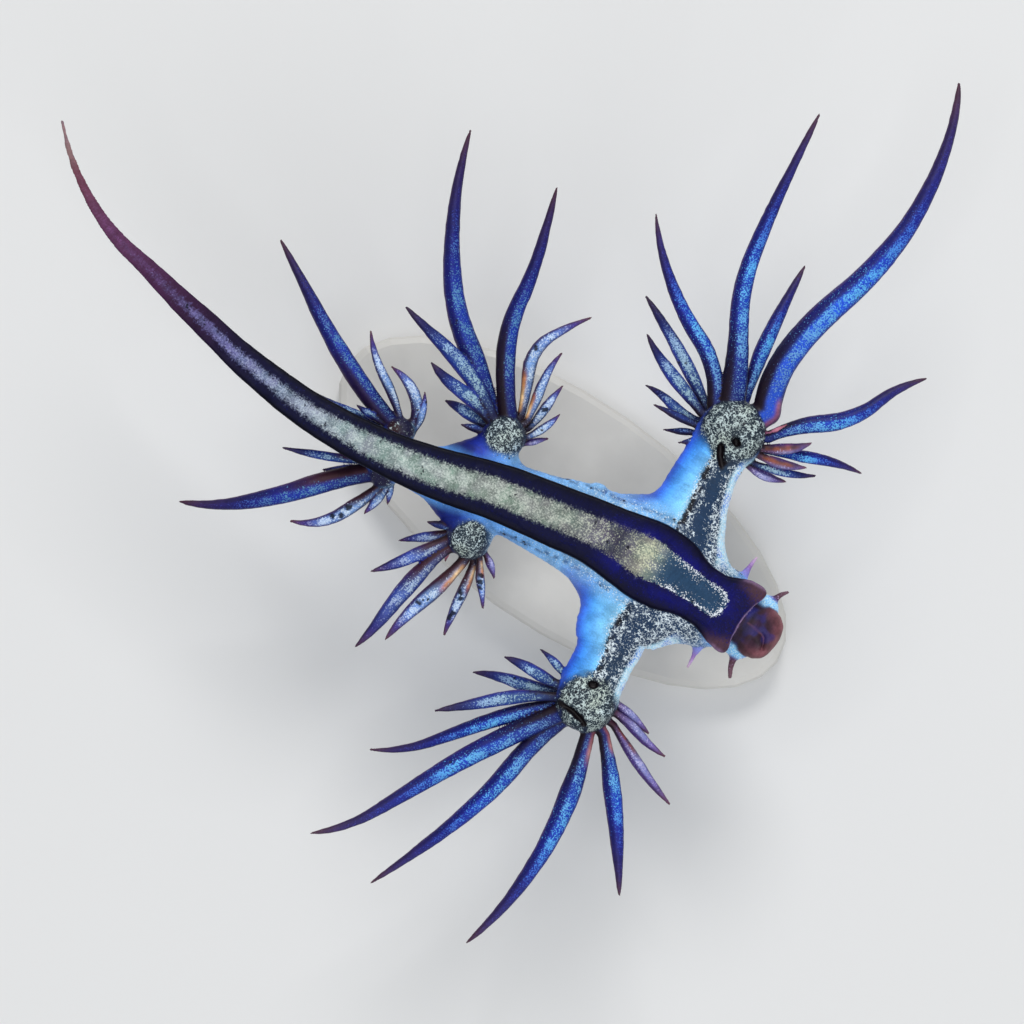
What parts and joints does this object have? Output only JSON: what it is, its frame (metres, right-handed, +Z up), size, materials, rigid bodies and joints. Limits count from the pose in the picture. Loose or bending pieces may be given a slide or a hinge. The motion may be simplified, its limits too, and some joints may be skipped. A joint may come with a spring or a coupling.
{
  "type": "blue dragon sea slug model on a stand",
  "caption": "Life-size still model of a blue dragon sea slug floating belly up, held by a flat oval base with short rods.",
  "frame": {"origin": "middle of the model's bounding box, on the floor under the stand", "axes": "+X towards the head, +Y to the animal's right side, the side of the longest cerata, +Z up, which is the animal's belly side"},
  "size_m": [0.04, 0.0442, 0.0127],
  "materials": {
    "body_skin": "wet satin skin, deep navy foot with a silver-green stripe and pale blue flanks",
    "tail_skin": "wet satin skin, violet-brown with a fading lilac stripe",
    "arm_skin": "wet satin skin, azure and speckled silver",
    "ceras_skin": "wet satin skin, ultramarine with a cyan streak and maroon tips",
    "head_skin": "wet satin skin, pale blue with a violet-brown mouth",
    "stand_base": "satin off-white",
    "stand_rod": "brushed"
  },
  "bodies": {
    "root": {"arm_front_left": "arm_skin", "arm_front_right": "arm_skin", "arm_middle_left": "arm_skin", "arm_middle_right": "arm_skin", "arm_rear_left": "arm_skin", "arm_rear_right": "arm_skin", "ceras_front_left_a": "ceras_skin", "ceras_front_left_b": "ceras_skin", "ceras_front_left_c": "ceras_skin", "ceras_front_left_d": "ceras_skin", "ceras_front_left_e": "ceras_skin", "ceras_front_left_f": "ceras_skin", "ceras_front_left_i": "ceras_skin", "ceras_front_left_j": "ceras_skin", "ceras_front_right_a": "ceras_skin", "ceras_front_right_b": "ceras_skin", "ceras_front_right_c": "ceras_skin", "ceras_front_right_d": "ceras_skin", "ceras_front_right_e": "ceras_skin", "ceras_front_right_f": "ceras_skin", "ceras_front_right_h": "ceras_skin", "ceras_front_right_i": "ceras_skin", "ceras_middle_left_a": "ceras_skin", "ceras_middle_left_b": "ceras_skin", "ceras_middle_left_c": "ceras_skin", "ceras_middle_left_f": "ceras_skin", "ceras_middle_right_a": "ceras_skin", "ceras_middle_right_b": "ceras_skin", "ceras_middle_right_c": "ceras_skin", "ceras_middle_right_h": "ceras_skin", "ceras_middle_right_i": "ceras_skin", "ceras_rear_left_a": "ceras_skin", "ceras_rear_left_b": "ceras_skin", "ceras_rear_left_c": "ceras_skin", "ceras_rear_right_a": "ceras_skin", "ceras_rear_right_b": "ceras_skin", "ceras_rear_right_c": "ceras_skin", "ceras_rear_right_e": "ceras_skin", "foot_front": "body_skin", "head": "head_skin", "neck": "body_skin", "oral_tentacle_left": "head_skin", "oral_tentacle_right": "head_skin", "rhinophore_left": "head_skin", "rhinophore_right": "head_skin", "stand_base": "stand_base", "stand_rod_front": "stand_rod", "stand_rod_rear": "stand_rod", "tail_middle": "tail_skin", "tail_root": "tail_skin", "tail_tip": "tail_skin", "trunk_front": "body_skin", "trunk_rear": "body_skin"}
  },
  "joints": []
}
